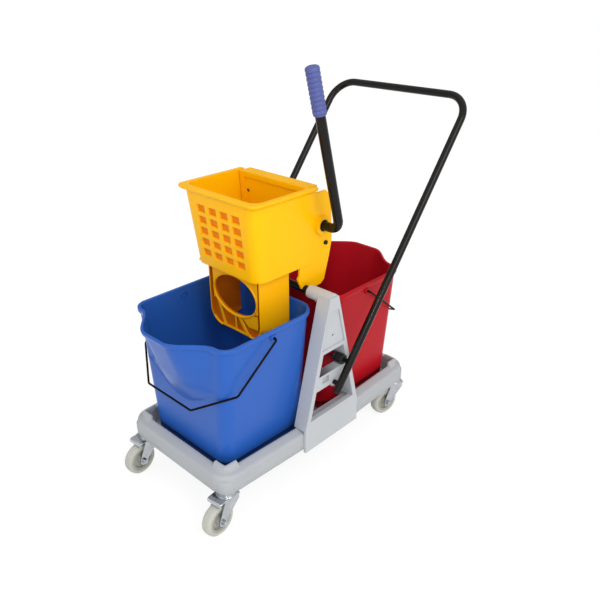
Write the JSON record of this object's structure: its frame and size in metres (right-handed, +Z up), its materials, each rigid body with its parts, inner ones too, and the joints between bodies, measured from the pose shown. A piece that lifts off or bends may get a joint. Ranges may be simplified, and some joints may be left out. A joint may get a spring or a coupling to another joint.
{
  "type": "double mop bucket trolley",
  "caption": "Wheeled mop trolley: moulded base on swivel castors with paired lift-out buckets, A-shaped side frames, a tubular push handle and a lever-operated side-press mop wringer.",
  "frame": {"origin": "middle of the bounding box on the floor under the castors", "axes": "+X from the wringer end to the push handle, +Y away from the lever side, +Z up"},
  "size_m": [0.8741, 0.448, 0.9896],
  "materials": {
    "grey_plastic": "satin moulded",
    "black_tube": "semi-gloss powder coat",
    "black_wire": "semi-gloss coat",
    "zinc_steel": "bright zinc plate",
    "black_plastic": "satin",
    "wheel_plastic": "satin moulded",
    "tread_rubber": "matte grey non-marking rubber",
    "blue_plastic": "soft gloss moulded",
    "red_plastic": "soft gloss moulded",
    "yellow_plastic": "soft gloss moulded",
    "grip_vinyl": "satin blue-violet vinyl"
  },
  "bodies": {
    "frame": {"base_tray": "grey_plastic", "left_side_frame": "grey_plastic", "right_side_frame": "grey_plastic", "side_frame_screws": "zinc_steel", "cross_tube": "black_tube", "cross_tube_screws": "zinc_steel", "push_handle": "black_tube", "handle_studs": "black_tube", "handle_nuts": "zinc_steel", "handle_plugs": "black_plastic", "castor_stems": "zinc_steel", "castor_nuts": "zinc_steel"},
    "swivel_fl": {"fork_fl": "zinc_steel", "axle_fl": "zinc_steel"},
    "wheel_fl": {"core_fl": "wheel_plastic", "tyre_fl": "tread_rubber"},
    "swivel_fr": {"fork_fr": "zinc_steel", "axle_fr": "zinc_steel"},
    "wheel_fr": {"core_fr": "wheel_plastic", "tyre_fr": "tread_rubber"},
    "swivel_rl": {"fork_rl": "zinc_steel", "axle_rl": "zinc_steel"},
    "wheel_rl": {"core_rl": "wheel_plastic", "tyre_rl": "tread_rubber"},
    "swivel_rr": {"fork_rr": "zinc_steel", "axle_rr": "zinc_steel"},
    "wheel_rr": {"core_rr": "wheel_plastic", "tyre_rr": "tread_rubber"},
    "blue_pail": {"blue_bucket": "blue_plastic"},
    "blue_handle": {"blue_bail": "black_wire"},
    "red_pail": {"red_bucket": "red_plastic"},
    "red_handle": {"red_bail": "black_wire"},
    "wringer": {"wringer_basket": "yellow_plastic", "wringer_chute": "yellow_plastic", "chute_screws": "zinc_steel", "axle_bushes": "black_plastic", "tie_rod": "black_tube"},
    "press": {"press_plate": "yellow_plastic", "press_pins": "zinc_steel"},
    "lever": {"lever_tube": "black_tube", "lever_grip": "grip_vinyl", "cam_arms": "black_plastic", "cam_roller": "zinc_steel", "lever_clip": "zinc_steel"}
  },
  "joints": [
    {"name": "castor_swivel_fl", "type": "hinge", "parent": "frame", "child": "swivel_fl", "pos_m": [-0.3651, -0.153, 0.098], "axis": [0, 0, 1], "continuous": true},
    {"name": "wheel_roll_fl", "type": "hinge", "parent": "swivel_fl", "child": "wheel_fl", "pos_m": [-0.39702, -0.15523, 0.04], "axis": [0.0698, -0.9976, 0], "continuous": true},
    {"name": "castor_swivel_fr", "type": "hinge", "parent": "frame", "child": "swivel_fr", "pos_m": [-0.3651, 0.153, 0.098], "axis": [0, 0, 1], "continuous": true},
    {"name": "wheel_roll_fr", "type": "hinge", "parent": "swivel_fr", "child": "wheel_fr", "pos_m": [-0.39702, 0.15077, 0.04], "axis": [0.0698, -0.9976, 0], "continuous": true},
    {"name": "castor_swivel_rl", "type": "hinge", "parent": "frame", "child": "swivel_rl", "pos_m": [0.2629, -0.153, 0.098], "axis": [0, 0, 1], "continuous": true},
    {"name": "wheel_roll_rl", "type": "hinge", "parent": "swivel_rl", "child": "wheel_rl", "pos_m": [0.2316, -0.14635, 0.04], "axis": [-0.2079, -0.9781, 0], "continuous": true},
    {"name": "castor_swivel_rr", "type": "hinge", "parent": "frame", "child": "swivel_rr", "pos_m": [0.2629, 0.153, 0.098], "axis": [0, 0, 1], "continuous": true},
    {"name": "wheel_roll_rr", "type": "hinge", "parent": "swivel_rr", "child": "wheel_rr", "pos_m": [0.2316, 0.15965, 0.04], "axis": [-0.2079, -0.9781, 0], "continuous": true},
    {"name": "blue_bucket_lift", "type": "slide", "parent": "frame", "child": "blue_pail", "axis": [0, 0, 1], "range_m": [0, 0.034]},
    {"name": "blue_bail_swing", "type": "hinge", "parent": "blue_pail", "child": "blue_handle", "pos_m": [-0.2141, 0, 0.435], "axis": [0, 1, 0], "range_deg": [0, 120]},
    {"name": "red_bucket_lift", "type": "slide", "parent": "frame", "child": "red_pail", "axis": [0, 0, 1], "range_m": [0, 0.004]},
    {"name": "red_bail_swing", "type": "hinge", "parent": "red_pail", "child": "red_handle", "pos_m": [0.1119, 0, 0.435], "axis": [0, -1, 0], "range_deg": [0, 120]},
    {"name": "wringer_lift", "type": "slide", "parent": "frame", "child": "wringer", "axis": [0, 0, 1], "range_m": [0, 0.1]},
    {"name": "lever_turn", "type": "hinge", "parent": "wringer", "child": "lever", "pos_m": [-0.0071, 0, 0.628], "axis": [0, 1, 0], "range_deg": [0, 75]},
    {"name": "press_swing", "type": "hinge", "parent": "wringer", "child": "press", "pos_m": [-0.0471, 0, 0.552], "axis": [0, 1, 0], "range_deg": [-25.6, 0]}
  ],
  "couplings": [
    {"joint": "press_swing", "follows": "lever_turn", "ratio": -0.34}
  ]
}
